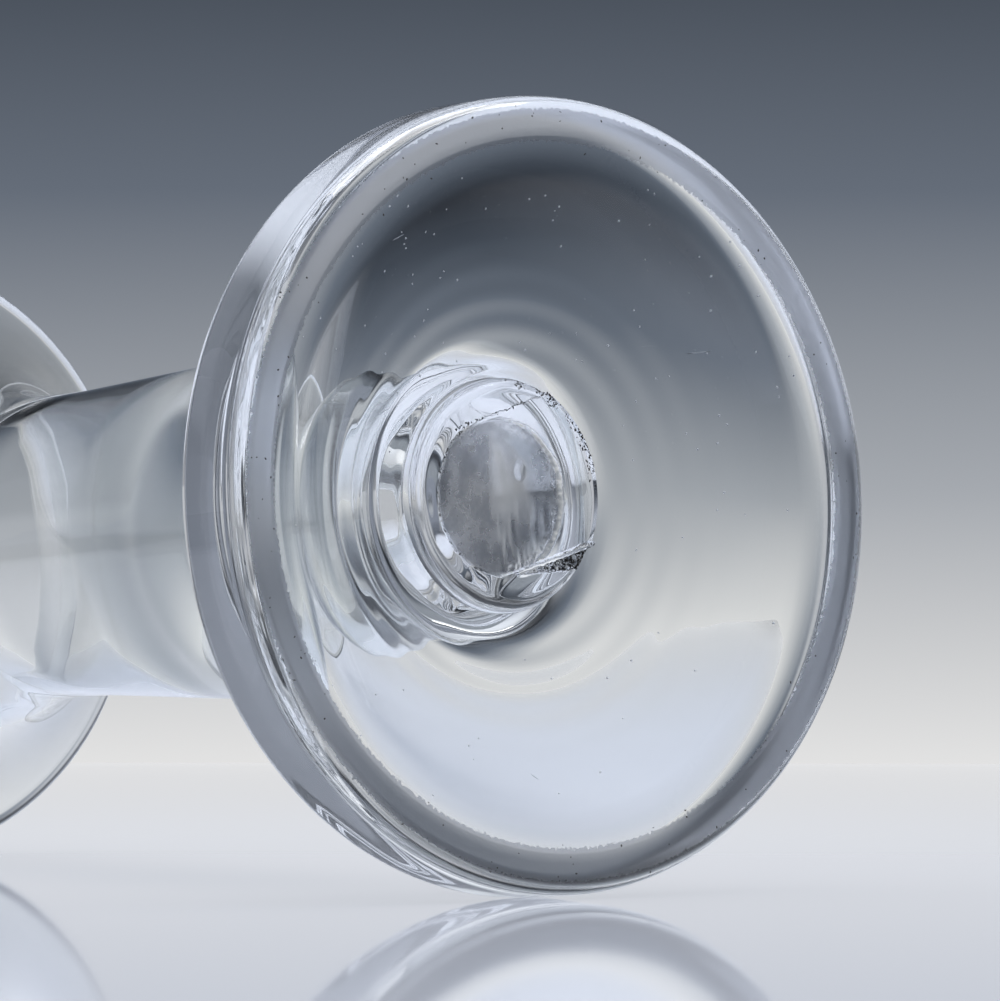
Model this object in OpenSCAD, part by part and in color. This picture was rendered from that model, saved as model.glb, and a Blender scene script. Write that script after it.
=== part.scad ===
// Firing glass: a short drinking glass with a waisted, flared bowl on a short solid stem and a heavy foot.
// Millimetres, +Z up the glass's axis, origin at the middle of the ring that it stands on.
// Bowl, stem and foot are separate gathers of glass, stuck together hot along flat seams, and
// the mark under the foot is what the pontil rod left behind when it was snapped away.

/* [Foot] */
// Diameter of the foot
foot_d = 66; // [60:0.5:74]
// Height of the foot's edge
edge_h = 8.2; // [6:0.1:10]
// Rounding of the edge's lower corner
low_corner_r = 1.9; // [1:0.1:2.6]
// Rounding of the edge's upper corner
top_corner_r = 2; // [1:0.1:3]
// Width of the flat ring that the glass stands on
ring_w = 1.5; // [0.8:0.1:3]
// Height of the hollow under the foot
kick_h = 8; // [5:0.1:9.5]
// Slope of that hollow at the ring, as a share of its mean slope
ring_ease = 0.62; // [0.4:0.02:0.8]
// Height of the foot's crown, where the stem is stuck on
crown_h = 15; // [13:0.1:17]

/* [Stem] */
// Diameter of the stem at the foot's crown
root_d = 21; // [19:0.1:24]
// Rounding between the foot and the stem
root_fillet_r = 4; // [2:0.1:4.5]
// Diameter of the neck, the stem's narrowest place
neck_d = 20; // [17:0.1:22]
// Height of the neck
neck_z = 26; // [24:0.5:28]
// Rounding of the outline at the neck
neck_round_r = 8; // [4:0.5:9]

/* [Bowl] */
// Overall height of the glass
height = 102.6; // [98:0.2:116]
// Diameter of the bowl's swollen base
swell_d = 30; // [27:0.1:32]
// Height of the swelling
swell_z = 38; // [36:0.5:42]
// Rounding of the outline at the swelling
swell_round_r = 12; // [6:0.5:16]
// Diameter of the waist
waist_d = 26.9; // [24:0.1:29]
// Height of the waist
waist_z = 66; // [63:0.5:70]
// Rounding of the outline at the waist
waist_round_r = 60; // [20:1:100]
// Height at which the bowl begins to flare
flare_z = 73; // [72:0.5:78]
// Thickness of the wall at the flare
wall_t = 2.2; // [1.8:0.1:3]
// Diameter of the rim
rim_d = 55.2; // [48:0.2:60]
// Thickness of the lip
lip_t = 2.2; // [1.6:0.1:3]
// Diameter inside, where the bottom begins to round
well_d = 22.4; // [20:0.1:23]
// Height at which the bottom begins to round
well_z = 53; // [50:0.5:56]
// Height of the bottom inside
floor_z = 38; // [36:0.5:41]
// Thickness of glass between the bottom and the stem
base_t = 10; // [8:0.5:12]

/* [Pontil mark] */
// Diameter of the mark
mark_d = 19.6; // [16:0.1:21]
// Height of the glass that was left behind
mark_h = 1.5; // [1.4:0.1:2]
// Rounding of the mark's melted edge
mark_edge_r = 0.5; // [0.3:0.1:0.6]
// How far the mark lies from the glass's axis
mark_shift = 0.3; // [0:0.1:1]
// Flat margin of the foot round the mark
seat_margin = 0.4; // [0.2:0.1:1]
// Diameter of the hollow where the rod broke away
scar_d = 12.4; // [11:0.1:12.4]
// Depth of that hollow
scar_depth = 1; // [0.6:0.1:1.2]
// Height of the ledge beside the hollow
ledge_h = 0.75; // [0.65:0.05:0.95]
// Distance of the ledge from the mark's middle
ledge_off = 6.4; // [6.4:0.1:7]
// Width of the chip in the mark's edge
chip_w = 4; // [3:0.1:4.4]

/* [Hidden] */
$fn = 96;

arc_step = 5;
foot_r = foot_d / 2;
waist_r = waist_d / 2;
mark_r = mark_d / 2;
ring_in_r = foot_r - low_corner_r - ring_w;
seat_r = mark_r + mark_shift + seat_margin;

// The dish under the foot is part of a ball out to turn_r, and from there an arc that turns outwards to
// meet the standing ring at a gentler slope
turn_r = seat_r + 0.8 * (ring_in_r - seat_r);
ring_slope = ring_ease * atan2(kick_h, ring_in_r - seat_r);
steep = dish_slope(ring_slope, 80, 40);
dish_ball_r = turn_r / sin(steep);
dish_seat = asin(seat_r / dish_ball_r);
dish_turn_r = (ring_in_r - turn_r) / (sin(steep) - sin(ring_slope));

// The middle of the bowl's wall is one arc, upright at the flare and ending at the lip's centre
lip_r = lip_t / 2;
lip_centre = [rim_d / 2 - lip_r, height - lip_r];
flare_start = [waist_r - wall_t / 2, flare_z];
flare_rise = lip_centre - flare_start;
flare_r = (flare_rise * flare_rise) / (2 * flare_rise[0]);
flare_angle = 2 * atan2(flare_rise[0], flare_rise[1]);
seam_z = floor_z - base_t;

// The hollow in the mark is a shallow cap of a ball, and the chip is a ball's bite right through its edge
scar_ball_r = (scar_d * scar_d / 4 + scar_depth * scar_depth) / (2 * scar_depth);
chip_ball_r = 0.6 * chip_w;
chip_reach = mark_h + 0.5;
mark_turn = -45;
ledge_turn = 163;
chip_turn = 142;

function unit(v) = v / norm(v);
function polar(angle) = [cos(angle), sin(angle)];
function steps(sweep) = max(2, ceil(abs(sweep) / arc_step));
function reversed(points) = [for (i = [len(points) - 1:-1:0]) points[i]];

// Depth of the dish whose steepest slope is s
function dish_depth(s) =
    let (ball_r = turn_r / sin(s), a = asin(seat_r / ball_r))
    ball_r * (cos(a) - cos(s)) + (ring_in_r - turn_r) * tan((s + ring_slope) / 2);

// The steepest slope at which the dish is as deep as the foot's hollow, found by halving
function dish_slope(low, high, count) =
    let (s = (low + high) / 2)
    count == 0 ? s
    : dish_depth(s) < kick_h ? dish_slope(s, high, count - 1)
    : dish_slope(low, s, count - 1);

// Points along an arc between two angles
function arc(centre, radius, from, to) =
    let (count = steps(to - from))
    [for (i = [0:count]) centre + radius * polar(from + (to - from) * i / count)];

// Points that round the corner b between the straight runs from a and to c
function corner(a, b, c, radius) =
    let (
        back = unit(a - b),
        ahead = unit(c - b),
        half = acos(back * ahead) / 2,
        start = b + back * radius / tan(half),
        end = b + ahead * radius / tan(half),
        centre = b + unit(back + ahead) * radius / sin(half),
        from = atan2(start[1] - centre[1], start[0] - centre[0]),
        turn = atan2(end[1] - centre[1], end[0] - centre[0]) - from,
        sweep = turn > 180 ? turn - 360 : turn < -180 ? turn + 360 : turn,
        round = arc(centre, radius, from, from + sweep)
    )
    concat([start], [for (i = [1:len(round) - 2]) round[i]], [end]);

// Outside of the glass from the standing ring to the start of the flare
function outline() =
    let (
        ring_in = [ring_in_r, 0],
        edge_low = [foot_r, 0],
        edge_top = [foot_r, edge_h],
        root = [root_d / 2, crown_h],
        neck = [neck_d / 2, neck_z],
        swell = [swell_d / 2, swell_z],
        waist = [waist_r, waist_z],
        flare = [waist_r, flare_z]
    )
    concat(
        [ring_in],
        corner(ring_in, edge_low, edge_top, low_corner_r),
        corner(edge_low, edge_top, root, top_corner_r),
        corner(edge_top, root, neck, root_fillet_r),
        corner(root, neck, swell, neck_round_r),
        corner(neck, swell, waist, swell_round_r),
        corner(swell, waist, flare, waist_round_r),
        [flare]
    );

// Underside of the foot from the mark's flat seat to just short of the standing ring
function dish() =
    let (
        hollow = arc([0, kick_h - dish_ball_r * cos(dish_seat)], dish_ball_r, 90 - dish_seat, 90 - steep),
        centre = [ring_in_r, 0] - dish_turn_r * polar(-90 - ring_slope),
        lip = arc(centre, dish_turn_r, -90 - steep, -90 - ring_slope)
    )
    concat(hollow, [for (i = [1:len(lip) - 2]) lip[i]]);

// Where the outline crosses a height above the foot's edge
function crossing(points, z) =
    [for (i = [1:len(points) - 1])
        let (a = points[i - 1], b = points[i])
        if (a[1] < z && b[1] >= z) a + (b - a) * (z - a[1]) / (b[1] - a[1])][0];

// The stretches of an outline below and above a height, cut square at it
function below(points, z) = concat([for (p = points) if (p[1] < z) p], [crossing(points, z)]);
function above(points, z) = concat([crossing(points, z)], [for (p = points) if (p[1] > z) p]);

// A point on the bowl's wall: side is 1 outside and -1 inside, and the thickness runs from flare to lip
function wall_point(angle, side) =
    let (thickness = wall_t + (lip_t - wall_t) * angle / flare_angle)
    flare_start + flare_r * [1 - cos(angle), sin(angle)] + side * thickness / 2 * [cos(angle), -sin(angle)];

function wall(side) =
    let (count = steps(flare_angle))
    [for (i = [0:count]) wall_point(flare_angle * i / count, side)];

// Inside of the bowl below the flare: a nearly upright wall and a rounded bottom
function well() =
    concat(
        [wall_point(0, -1)],
        [for (i = [0:steps(90)])
            let (a = 90 * i / steps(90))
            [well_d / 2 * cos(a), well_z - (well_z - floor_z) * sin(a)]]
    );

module glass() { color([0.84, 0.88, 0.90, 0.55]) children(); }

module foot() {
    glass() rotate_extrude() polygon(concat(
        [[0, kick_h]],
        dish(),
        below(outline(), crown_h),
        [[0, crown_h]]
    ));
}

module stem() {
    glass() rotate_extrude() polygon(concat(
        [[0, crown_h]],
        above(below(outline(), seam_z), crown_h),
        [[0, seam_z]]
    ));
}

module bowl() {
    lip = arc(lip_centre, lip_r, -flare_angle, 180 - flare_angle);
    outside = wall(1);
    inside = reversed(wall(-1));
    glass() rotate_extrude() polygon(concat(
        [[0, seam_z]],
        above(outline(), seam_z),
        [for (i = [1:len(outside) - 2]) outside[i]],
        lip,
        [for (i = [1:len(inside) - 2]) inside[i]],
        well()
    ));
}

module pontil_mark() {
    low_z = kick_h - mark_h;
    glass() rotate(mark_turn) translate([mark_shift, 0, 0]) difference() {
        rotate_extrude() polygon(concat(
            [[0, low_z]],
            corner([0, low_z], [mark_r, low_z], [mark_r, kick_h], mark_edge_r),
            [[mark_r, kick_h], [0, kick_h]]
        ));
        // The shallow hollow of the break
        translate([0, 0, low_z + scar_depth - scar_ball_r]) sphere(r = scar_ball_r);
        // The ledge beside it, where a flake came away level
        rotate(ledge_turn) translate([ledge_off, -mark_d, low_z - mark_h])
            cube([mark_d, 2 * mark_d, mark_h + ledge_h]);
        // The chip in the edge, shaped like a shell
        rotate(chip_turn) translate([mark_r, 0, low_z + chip_reach - chip_ball_r]) sphere(r = chip_ball_r);
    }
}

foot();
stem();
bowl();
pontil_mark();
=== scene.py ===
"""A firing glass lying on its side, seen from under its foot.

The glass is four gathers of lead glass, fused hot: foot, stem, bowl and the mark that the pontil rod
left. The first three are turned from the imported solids' outline, with a wider rounding at the stem's
root and the slips of hand work added, and the mark is modelled with its break. Lengths in the classes
are millimetres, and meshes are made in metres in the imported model's frame.
"""
import logging
import math
from dataclasses import dataclass, field
from enum import Enum, IntEnum
from typing import Any, Iterable, Sequence

import bmesh
import bpy
from mathutils import Matrix, Vector, noise


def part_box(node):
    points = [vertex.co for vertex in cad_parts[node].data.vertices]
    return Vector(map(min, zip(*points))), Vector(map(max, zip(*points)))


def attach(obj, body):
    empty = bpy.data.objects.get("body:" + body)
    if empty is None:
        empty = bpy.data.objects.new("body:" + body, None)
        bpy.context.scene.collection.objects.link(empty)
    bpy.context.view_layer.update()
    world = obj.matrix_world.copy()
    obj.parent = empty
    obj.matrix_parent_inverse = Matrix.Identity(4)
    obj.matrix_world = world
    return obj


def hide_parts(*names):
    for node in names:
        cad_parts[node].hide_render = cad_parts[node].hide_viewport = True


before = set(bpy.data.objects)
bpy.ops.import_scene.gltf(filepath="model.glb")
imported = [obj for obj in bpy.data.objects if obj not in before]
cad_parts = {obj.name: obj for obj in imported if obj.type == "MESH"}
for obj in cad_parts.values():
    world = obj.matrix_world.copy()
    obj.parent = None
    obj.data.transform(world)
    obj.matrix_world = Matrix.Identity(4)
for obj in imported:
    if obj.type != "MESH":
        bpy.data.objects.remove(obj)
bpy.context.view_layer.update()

LOG = logging.getLogger("firing_glass")
MM = 0.001
HALVINGS = 40
BOUNCES = 64
SEAM_STEP = 1.5
# A face of a turned mesh is a seam where this much of it comes from a seam's points
SEAM_SHARE = 0.6
STEEPEST_LIE = math.radians(20)
# Sockets of a Mix node for colours, whose names are shared with its other kinds
MIX_FIRST, MIX_SECOND, MIX_RESULT = 6, 7, 2
# Sockets of a Random Value node for numbers, for the same reason
RANDOM_MOST, RANDOM_RESULT = 3, 1

Socket = bpy.types.NodeSocket
Tree = bpy.types.NodeTree
Point = Vector


class Surface(IntEnum):
    """What a stretch of a turned profile is: its own skin, or a seam inside the fused glass."""

    SKIN = 0
    SEAM = 1


class Way(Enum):
    """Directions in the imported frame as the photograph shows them."""

    UP = Vector((1, -1, 0)).normalized()
    RIGHT = Vector((1, 1, 0)).normalized()
    AXIS = Vector((0, 0, 1))


def linear(code: str) -> tuple[float, float, float, float]:
    """Turns an sRGB hex colour to linear light.

    Args:
        code: The colour as #RRGGBB.

    Returns:
        Red, green, blue and a full alpha for a colour socket.
    """
    shares = [int(code[i:i + 2], 16) / 255 for i in (1, 3, 5)]
    red, green, blue = [s / 12.92 if s <= 0.04045 else ((s + 0.055) / 1.055) ** 2.4 for s in shares]
    return red, green, blue, 1.0


def smoothstep(low: float, high: float, value: float) -> float:
    """Eases from 0 at low to 1 at high."""
    share = min(max((value - low) / (high - low), 0.0), 1.0)
    return share * share * (3 - 2 * share)


def add_node(tree: Tree, kind: str, inputs: dict[Any, Any] | None = None, **settings: Any) -> Any:
    """Adds a node with its settings, and sets or links its inputs.

    Args:
        tree: The node tree that gets the node.
        kind: The node's type name.
        inputs: Values or sockets to link, by the input's name or number.
        **settings: The node's own properties.

    Returns:
        The new node's outputs.
    """
    made = tree.nodes.new(kind)
    for name, value in settings.items():
        setattr(made, name, value)
    for key, value in (inputs or {}).items():
        if isinstance(value, Socket):
            tree.links.new(value, made.inputs[key])
        else:
            made.inputs[key].default_value = value
    return made.outputs


def new_material(name: str) -> tuple[bpy.types.Material, Tree]:
    """Makes an empty node material and returns it with its tree."""
    material = bpy.data.materials.new(name)
    material.use_nodes = True
    material.node_tree.nodes.clear()
    return material, material.node_tree


def end_clear(tree: Tree, share: Socket, shader: Socket, tint: str = "#FFFFFF") -> None:
    """Ends a material that lets light straight through for some rays.

    Args:
        tree: The material's tree.
        share: 1 where it is clear, and 0 where it isn't.
        shader: What it is where it isn't clear.
        tint: The colour that light takes on where it is.
    """
    clear = add_node(tree, "ShaderNodeBsdfTransparent", {"Color": linear(tint)})[0]
    shown = add_node(tree, "ShaderNodeMixShader", {0: share, 1: shader, 2: clear})[0]
    add_node(tree, "ShaderNodeOutputMaterial", {"Surface": shown})


def end_glass(tree: Tree, ior: float, shadow: str, tint: Socket, rough: Socket, normal: Socket) -> None:
    """Ends a glass material, through which lamps shine so that it leaves only a pale shadow.

    Args:
        tree: The material's tree.
        ior: How strongly the glass bends light.
        shadow: The colour that the lamps' light takes on.
        tint: The glass's colour.
        rough: Its roughness.
        normal: Its bumps.
    """
    glass = add_node(tree, "ShaderNodeBsdfPrincipled", {
        "Base Color": tint,
        "Roughness": rough,
        "IOR": ior,
        "Transmission Weight": 1.0,
        "Normal": normal,
    })[0]
    end_clear(tree, add_node(tree, "ShaderNodeLightPath")["Is Shadow Ray"], glass, shadow)


@dataclass(frozen=True)
class LeadGlass:
    """Lead glass, fire-polished: clear and bright, with soft waves from the hot tool.

    Where the foot stands it is ground to a pale frosted band by long use.
    """

    name: str = "lead_glass_fire_polished"
    colour: str = "#FAFCFC"
    ior: float = 1.55
    polish: float = 0.0
    grime: str = "#A6AAB2"
    frost: float = 0.32
    worn_h: float = 0.27
    worn_edge: float = 0.24
    worn_fade: float = 0.03
    grit: float = 0.3
    grit_depth: float = 0.005
    rubbed: float = 0.05
    rubbed_h: float = 2.2
    wave: float = 9.0
    wave_depth: float = 0.02
    shadow: str = "#FBFCFD"

    def build(self) -> bpy.types.Material:
        """Makes the material, whose worn band has a ragged border."""
        material, tree = new_material(self.name)
        spot = add_node(tree, "ShaderNodeTexCoord")["Object"]
        grit = add_node(tree, "ShaderNodeTexNoise", {
            "Vector": spot,
            "Scale": 1 / (self.grit * MM),
            "Detail": 3.0,
        })["Fac"]
        height = add_node(tree, "ShaderNodeSeparateXYZ", {0: spot})["Z"]
        jagged = add_node(tree, "ShaderNodeMath", {
            0: grit,
            1: -self.worn_edge * MM,
            2: height,
        }, operation="MULTIPLY_ADD")[0]
        border = (self.worn_h - self.worn_edge) * MM
        worn = add_node(tree, "ShaderNodeMapRange", {
            "Value": jagged,
            "From Min": border,
            "From Max": border - self.worn_fade * MM,
        })["Result"]
        rubbed = add_node(tree, "ShaderNodeMapRange", {
            "Value": height,
            "From Min": self.rubbed_h * MM,
            "From Max": 0.0,
            "To Min": self.polish,
            "To Max": self.rubbed,
        }, interpolation_type="SMOOTHSTEP")["Result"]
        rough = add_node(tree, "ShaderNodeMapRange", {
            "Value": worn,
            "To Min": rubbed,
            "To Max": self.frost,
        })["Result"]
        tint = add_node(tree, "ShaderNodeMix", {
            0: worn,
            MIX_FIRST: linear(self.colour),
            MIX_SECOND: linear(self.grime),
        }, data_type="RGBA")[MIX_RESULT]
        waves = add_node(tree, "ShaderNodeTexNoise", {
            "Vector": spot,
            "Scale": 1 / (self.wave * MM),
            "Detail": 1.0,
        })["Fac"]
        wavy = add_node(tree, "ShaderNodeBump", {
            "Height": waves,
            "Strength": 1.0,
            "Distance": self.wave_depth * MM,
        })["Normal"]
        pitted = add_node(tree, "ShaderNodeBump", {
            "Height": grit,
            "Strength": worn,
            "Distance": self.grit_depth * MM,
            "Normal": wavy,
        })["Normal"]
        end_glass(tree, self.ior, self.shadow, tint, rough, pitted)
        return material


@dataclass(frozen=True)
class BrokenGlass:
    """Lead glass where the rod was snapped off: half frosted in the hollow, where painted shade tints the
    frosted glass grey, and sharp at edges.
    """

    name: str = "lead_glass_broken_pontil"
    colour: str = "#F6F8FA"
    # Painted shade: the frosted glass, mostly in the hollow, is tinted towards this grey
    grey: str = "#666A72"
    ior: float = 1.55
    polish: float = 0.02
    frost: float = 0.3
    streak: float = 1.8
    streak_rough: float = 0.65
    uneven: tuple[float, float] = (0.36, 0.62)
    least: float = 0.82
    grain: float = 0.5
    grain_depth: float = 0.012
    shadow: str = "#D2D5DA"

    def build(self) -> bpy.types.Material:
        """Makes the material, whose frost follows the mesh's own frost attribute."""
        material, tree = new_material(self.name)
        spot = add_node(tree, "ShaderNodeTexCoord")["Object"]
        streaks = add_node(tree, "ShaderNodeTexNoise", {
            "Vector": spot,
            "Scale": 1 / (self.streak * MM),
            "Detail": 4.0,
            "Roughness": self.streak_rough,
        })["Fac"]
        uneven = add_node(tree, "ShaderNodeMapRange", {
            "Value": streaks,
            "From Min": self.uneven[0],
            "From Max": self.uneven[1],
            "To Min": self.least,
            "To Max": 1.0,
        })["Result"]
        frosted = add_node(tree, "ShaderNodeAttribute", attribute_name="frost")["Fac"]
        share = add_node(tree, "ShaderNodeMath", {0: frosted, 1: uneven}, operation="MULTIPLY")[0]
        rough = add_node(tree, "ShaderNodeMapRange", {
            "Value": share,
            "To Min": self.polish,
            "To Max": self.frost,
        })["Result"]
        # Painted shade: the more frosted the glass, the greyer it is tinted
        tint = add_node(tree, "ShaderNodeMix", {
            0: share,
            MIX_FIRST: linear(self.colour),
            MIX_SECOND: linear(self.grey),
        }, data_type="RGBA")[MIX_RESULT]
        grain = add_node(tree, "ShaderNodeTexNoise", {
            "Vector": spot,
            "Scale": 1 / (self.grain * MM),
            "Detail": 2.0,
        })["Fac"]
        grainy = add_node(tree, "ShaderNodeBump", {
            "Height": grain,
            "Strength": frosted,
            "Distance": self.grain_depth * MM,
        })["Normal"]
        end_glass(tree, self.ior, self.shadow, tint, rough, grainy)
        return material


@dataclass(frozen=True)
class Dull:
    """A dry, matt crumb: dust and glass powder show as pale points and hairs, old dirt as dark points."""

    name: str
    colour: str
    rough: float = 0.9

    def build(self) -> bpy.types.Material:
        """Makes the material."""
        material, tree = new_material(self.name)
        crumb = add_node(tree, "ShaderNodeBsdfPrincipled", {
            "Base Color": linear(self.colour),
            "Roughness": self.rough,
        })
        add_node(tree, "ShaderNodeOutputMaterial", {"Surface": crumb[0]})
        return material


@dataclass(frozen=True)
class FusedSeam:
    """The face where two hot gathers became one: nothing to see, so light goes straight through."""

    name: str = "lead_glass_fused_seam"

    def build(self) -> bpy.types.Material:
        """Makes the material."""
        material, tree = new_material(self.name)
        clear = add_node(tree, "ShaderNodeBsdfTransparent")
        add_node(tree, "ShaderNodeOutputMaterial", {"Surface": clear[0]})
        return material


@dataclass(frozen=True)
class Viewpoint:
    """Where the photograph was taken from, fitted to the outlines of foot, standing ring, bowl and rim."""

    width_px: int = 1000
    height_px: int = 1001
    focal_px: float = 8522.0
    sensor_mm: float = 36.0
    turn: float = math.radians(37.38)
    dip: float = math.radians(3.13)
    origin: tuple[float, float, float] = (5.13, -0.53, 700.0)
    clip_m: tuple[float, float] = (0.01, 50.0)

    def to_row(self, seen: Iterable[float]) -> Vector:
        """Turns a direction right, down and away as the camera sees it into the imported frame.

        Args:
            seen: The direction in the camera's axes.

        Returns:
            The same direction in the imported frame.
        """
        axis = Vector((
            -math.sin(self.turn) * math.cos(self.dip),
            math.sin(self.dip),
            math.cos(self.turn) * math.cos(self.dip),
        ))
        up = Vector((0, -1, 0))
        up = (up - axis * up.dot(axis)).normalized()
        seen = Vector(seen)
        right = Way.RIGHT.value * seen.dot(axis.cross(up))
        return Way.UP.value * seen.dot(up) + right + Way.AXIS.value * seen.dot(axis)

    def place(self) -> Vector:
        """The camera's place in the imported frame, in millimetres."""
        return self.to_row(-Vector(self.origin))

    def build(self) -> None:
        """Makes the scene's camera."""
        data = bpy.data.cameras.new("photograph_view")
        data.sensor_width = self.sensor_mm
        data.lens = self.focal_px * self.sensor_mm / max(self.width_px, self.height_px)
        data.clip_start, data.clip_end = self.clip_m
        camera = bpy.data.objects.new("photograph_view", data)
        columns = [self.to_row((1, 0, 0)), self.to_row((0, -1, 0)), self.to_row((0, 0, -1))]
        facing = Matrix(columns).transposed().to_4x4()
        camera.matrix_world = Matrix.Translation(self.place() * MM) @ facing
        bpy.context.scene.collection.objects.link(camera)
        bpy.context.scene.camera = camera


def arc(centre: Point, radius: float, start: float, end: float,
        step: float = math.radians(2)) -> list[Point]:
    """Points along an arc.

    Args:
        centre: The arc's centre.
        radius: Its radius.
        start: The angle of its first point.
        end: The angle of its last point.
        step: The most that one point turns from the last.

    Returns:
        The points, both ends included.
    """
    count = max(2, math.ceil(abs(end - start) / step))
    angles = [start + (end - start) * i / count for i in range(count + 1)]
    return [centre + radius * Vector((math.cos(a), math.sin(a))) for a in angles]


def corner(before: Point, tip: Point, after: Point, radius: float) -> list[Point]:
    """Rounds the corner between two straight runs.

    Args:
        before: A point on the run that comes in.
        tip: The sharp corner.
        after: A point on the run that goes out.
        radius: The rounding.

    Returns:
        The points of the rounding, from one run to the other.
    """
    back = (before - tip).normalized()
    ahead = (after - tip).normalized()
    half = back.angle(ahead) / 2
    centre = tip + (back + ahead).normalized() * radius / math.sin(half)
    first = tip + back * radius / math.tan(half) - centre
    last = tip + ahead * radius / math.tan(half) - centre
    start = math.atan2(first.y, first.x)
    sweep = math.remainder(math.atan2(last.y, last.x) - start, math.tau)
    return arc(centre, radius, start, start + sweep)


def closer(points: Sequence[Point], step: float) -> list[Point]:
    """Adds points so that no two neighbours lie further apart than step."""
    made = [points[0]]
    for a, b in zip(points, points[1:]):
        count = max(1, math.ceil((b - a).length / step))
        made += [a.lerp(b, i / count) for i in range(1, count + 1)]
    return made


@dataclass(frozen=True)
class Outline:
    """Outside of the glass from the standing ring to the start of the flare."""

    foot_r: float
    crown_z: float
    edge_h: float = 8.2
    low_corner_r: float = 1.9
    top_corner_r: float = 2.0
    ring_w: float = 1.5
    root_r: float = 10.5
    root_fillet_r: float = 5.5
    neck_r: float = 10.0
    neck_z: float = 26.0
    neck_round_r: float = 8.0
    swell_r: float = 15.0
    swell_z: float = 38.0
    swell_round_r: float = 12.0
    waist_r: float = 13.45
    waist_z: float = 66.0
    waist_round_r: float = 60.0
    flare_z: float = 73.0
    step: float = 0.9

    @property
    def ring_in_r(self) -> float:
        """Radius at which the dish meets the standing ring."""
        return self.foot_r - self.low_corner_r - self.ring_w

    def points(self) -> list[Point]:
        """The outline from the ring's inner edge up to the flare."""
        turns = [
            (self.foot_r, 0, self.low_corner_r),
            (self.foot_r, self.edge_h, self.top_corner_r),
            (self.root_r, self.crown_z, self.root_fillet_r),
            (self.neck_r, self.neck_z, self.neck_round_r),
            (self.swell_r, self.swell_z, self.swell_round_r),
            (self.waist_r, self.waist_z, self.waist_round_r),
        ]
        tips = [Vector((self.ring_in_r, 0))]
        tips += [Vector((r, z)) for r, z, _ in turns]
        tips.append(Vector((self.waist_r, self.flare_z)))
        made = tips[:1]
        for before, tip, after, turn in zip(tips, tips[1:], tips[2:], turns):
            made += corner(before, tip, after, turn[2])
        return closer(made + tips[-1:], self.step)

    def between(self, low: float, high: float) -> list[Point]:
        """The stretch of the outline between two heights, cut square at both.

        Args:
            low: The lower height, or one below the outline.
            high: The upper height, or one above the outline.

        Returns:
            The stretch's points.
        """
        points = self.points()
        made = [p for p in points[:1] if low <= p.y <= high]
        for a, b in zip(points, points[1:]):
            for z in (low, high):
                if a.y < z < b.y:
                    made.append(a.lerp(b, (z - a.y) / (b.y - a.y)))
            if low <= b.y <= high:
                made.append(b)
        return made


@dataclass(frozen=True)
class Run:
    """One stretch of a turned profile, from the axis below, round the outside, to the axis above."""

    surface: Surface
    points: list[Point]


def new_tree(name: str, inputs: dict[str, str]) -> tuple[Tree, Any]:
    """Makes a geometry tree.

    Args:
        name: The tree's name.
        inputs: The kind of each input by its name, the geometry first.

    Returns:
        The tree and its input sockets.
    """
    tree = bpy.data.node_groups.new(name, "GeometryNodeTree")
    tree.interface.new_socket("Geometry", in_out="OUTPUT", socket_type="NodeSocketGeometry")
    for label, kind in inputs.items():
        tree.interface.new_socket(label, in_out="INPUT", socket_type="NodeSocket" + kind)
    return tree, add_node(tree, "NodeGroupInput")


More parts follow.
